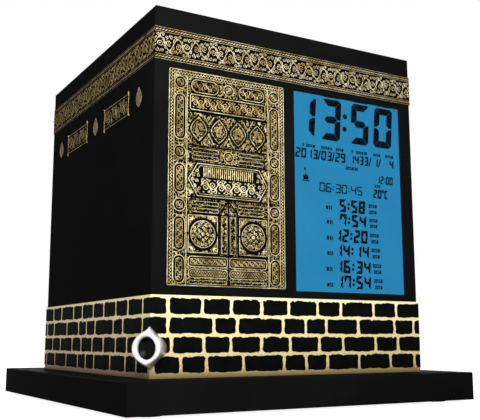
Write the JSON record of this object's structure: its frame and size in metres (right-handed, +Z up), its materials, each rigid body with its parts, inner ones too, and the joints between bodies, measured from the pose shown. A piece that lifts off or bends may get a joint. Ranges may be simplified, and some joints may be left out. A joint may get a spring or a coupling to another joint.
{
  "type": "azan clock",
  "caption": "Cube-shaped desk azan clock on a flat plinth, with a lit calendar display, gold band, door curtain, stone skirt, rear keys and speaker.",
  "frame": {"origin": "middle of the plinth's footprint, on the surface that the feet stand on", "axes": "+Z up, -Y out of the display, +X towards the display's side of the front"},
  "size_m": [0.139, 0.145, 0.1358],
  "materials": {
    "black_abs": "satin moulded",
    "inner_abs": "matt moulded",
    "rubber": "matt",
    "steel": "zinc plated",
    "clear_acrylic": "clear",
    "light_guide_acrylic": "diffusing",
    "lcd_glass": "clear",
    "white_plastic": "matt",
    "contact_rubber": "matt",
    "circuit_board": "solder mask",
    "black_resin": "matt",
    "nickel": "nickel plated",
    "key_plastic": "satin",
    "stem_plastic": "matt",
    "gasket_foam": "foam",
    "cone_paper": "pressed paper",
    "ferrite": "ground",
    "cell_wrap": "printed sleeve",
    "lead_insulation": "smooth",
    "gold_foil": "hot stamped",
    "gold_thread": "embroidered",
    "stone_print": "satin",
    "silver_plate": "satin plated",
    "dark_stone": "polished"
  },
  "bodies": {
    "housing": {"body_shell": "black_abs", "plinth_shell": "black_abs", "rear_panel": "black_abs", "base_plate": "inner_abs", "battery_tray": "inner_abs", "lcd_holder": "inner_abs", "rubber_feet": "rubber", "base_screws": "steel", "display_board_screws": "steel", "rear_panel_screws": "steel", "key_board_screws": "steel", "speaker_screws": "steel", "speaker_frame": "steel", "display_window": "clear_acrylic", "backlight_guide": "light_guide_acrylic", "lcd_front_glass": "lcd_glass", "lcd_rear_glass": "lcd_glass", "backlight_reflector": "white_plastic", "backlight_led_strip": "white_plastic", "contact_strips": "contact_rubber", "display_board": "circuit_board", "key_board": "circuit_board", "controller_chip": "black_resin", "slide_switch_housing": "black_resin", "power_inlet": "black_resin", "key_switches": "black_resin", "timing_crystal": "nickel", "battery_contacts": "nickel", "battery_springs": "nickel", "speaker_gasket": "gasket_foam", "speaker_cone": "cone_paper", "speaker_magnet": "ferrite", "battery_cell_1": "cell_wrap", "battery_cell_2": "cell_wrap", "battery_cell_3": "cell_wrap", "battery_leads": "lead_insulation", "speaker_leads": "lead_insulation", "board_ribbon": "lead_insulation", "gold_band": "gold_foil", "stone_skirt_foil": "gold_foil", "side_cartouches": "gold_foil", "side_drops": "gold_foil", "door_curtain_panel": "gold_thread", "skirt_stones": "stone_print", "corner_ring": "silver_plate", "corner_stone": "dark_stone"},
    "mode_key": {"mode_key": "key_plastic", "mode_key_stem": "stem_plastic"},
    "set_key": {"set_key": "key_plastic", "set_key_stem": "stem_plastic"},
    "up_key": {"up_key": "key_plastic", "up_key_stem": "stem_plastic"},
    "down_key": {"down_key": "key_plastic", "down_key_stem": "stem_plastic"},
    "light_key": {"light_key": "key_plastic", "light_key_stem": "stem_plastic"},
    "slide_switch_cap": {"slide_switch_cap": "key_plastic"},
    "battery_door": {"battery_door": "black_abs"}
  },
  "joints": [
    {"name": "mode_key_press", "type": "slide", "parent": "housing", "child": "mode_key", "axis": [0, -1, 0], "range_m": [0, 0.0008], "stiffness_N_per_m": 800},
    {"name": "set_key_press", "type": "slide", "parent": "housing", "child": "set_key", "axis": [0, -1, 0], "range_m": [0, 0.0008], "stiffness_N_per_m": 800},
    {"name": "up_key_press", "type": "slide", "parent": "housing", "child": "up_key", "axis": [0, -1, 0], "range_m": [0, 0.0008], "stiffness_N_per_m": 800},
    {"name": "down_key_press", "type": "slide", "parent": "housing", "child": "down_key", "axis": [0, -1, 0], "range_m": [0, 0.0008], "stiffness_N_per_m": 800},
    {"name": "light_key_press", "type": "slide", "parent": "housing", "child": "light_key", "axis": [0, -1, 0], "range_m": [0, 0.0008], "stiffness_N_per_m": 800},
    {"name": "switch_slide", "type": "slide", "parent": "housing", "child": "slide_switch_cap", "axis": [1, 0, 0], "range_m": [0, 0.004]},
    {"name": "battery_door_slide", "type": "slide", "parent": "housing", "child": "battery_door", "axis": [0, 1, 0], "range_m": [0, 0.06]}
  ]
}
